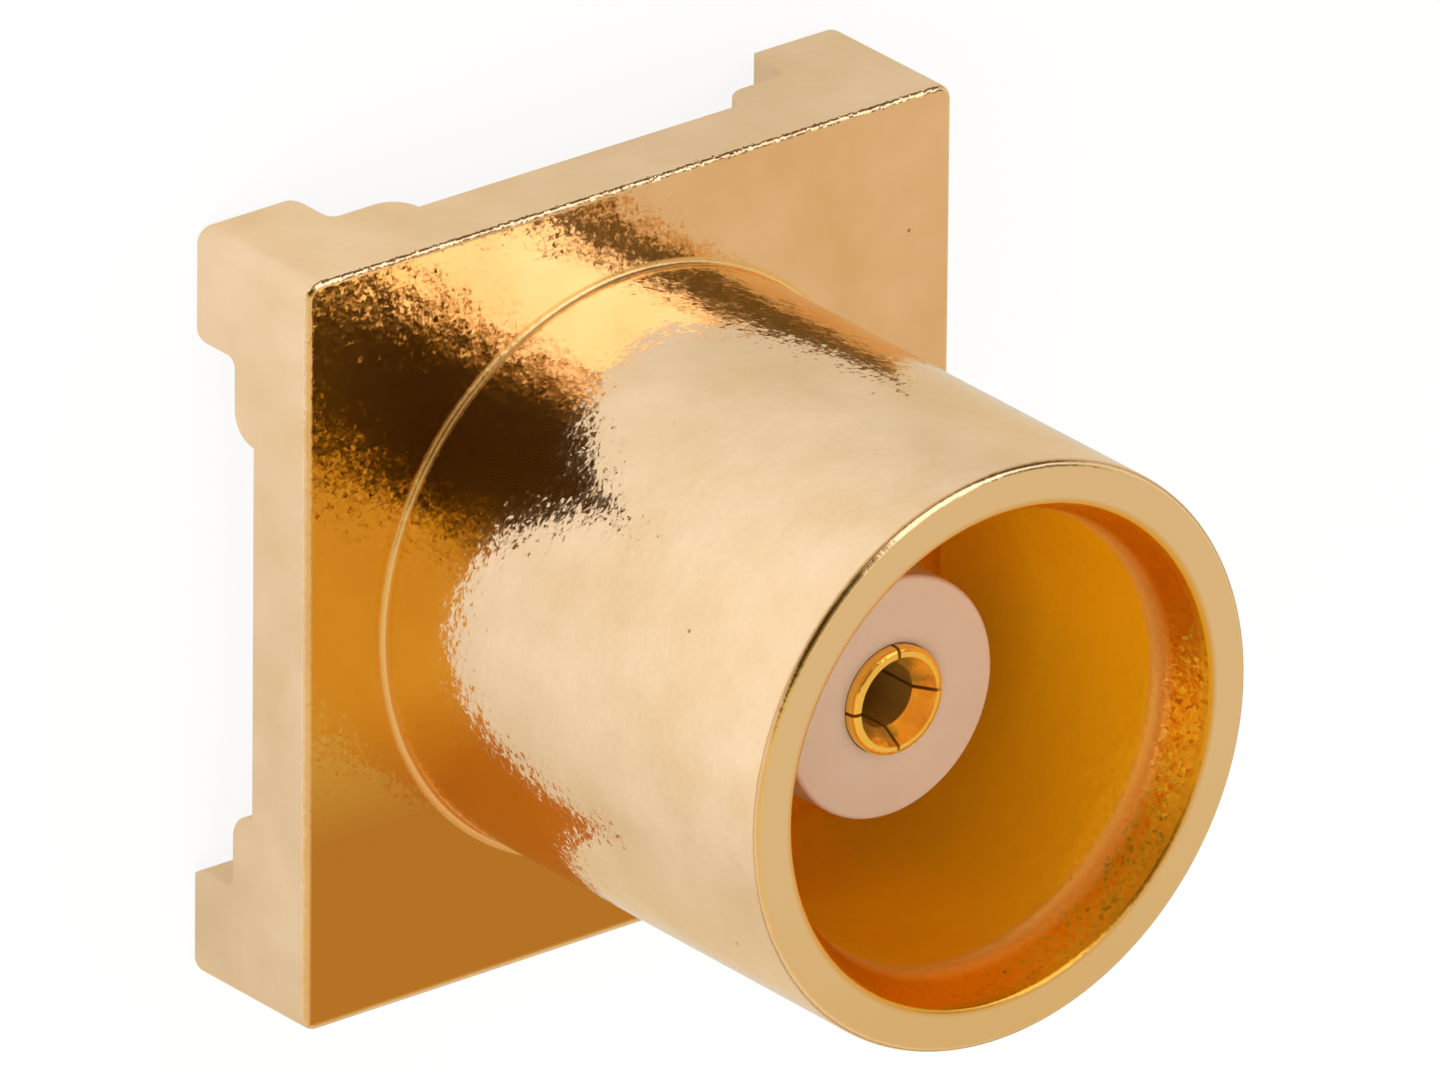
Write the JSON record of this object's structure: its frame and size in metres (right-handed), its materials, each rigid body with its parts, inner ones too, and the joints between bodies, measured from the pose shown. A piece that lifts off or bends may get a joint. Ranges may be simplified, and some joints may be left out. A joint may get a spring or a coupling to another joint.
{
  "type": "micro coaxial connector jack",
  "caption": "Straight surface-mount coaxial jack: square flange on corner feet, round barrel with a tapered mouth, white insulator post and slotted socket contact.",
  "frame": {"origin": "on the board plane, under the centre of the flange, where the barrel's axis meets it", "axes": "+Z along the barrel's axis, out of the mouth; X and Y along the flange sides"},
  "size_m": [0.0064, 0.0064, 0.006],
  "materials": {
    "body_gold": "gold plated, satin, faintly pebbled",
    "white_insulator": "white fluoropolymer, matt",
    "contact_gold": "gold plated, bright"
  },
  "bodies": {
    "root": {"body": "body_gold", "insulator": "white_insulator", "center_contact": "contact_gold"}
  },
  "joints": []
}
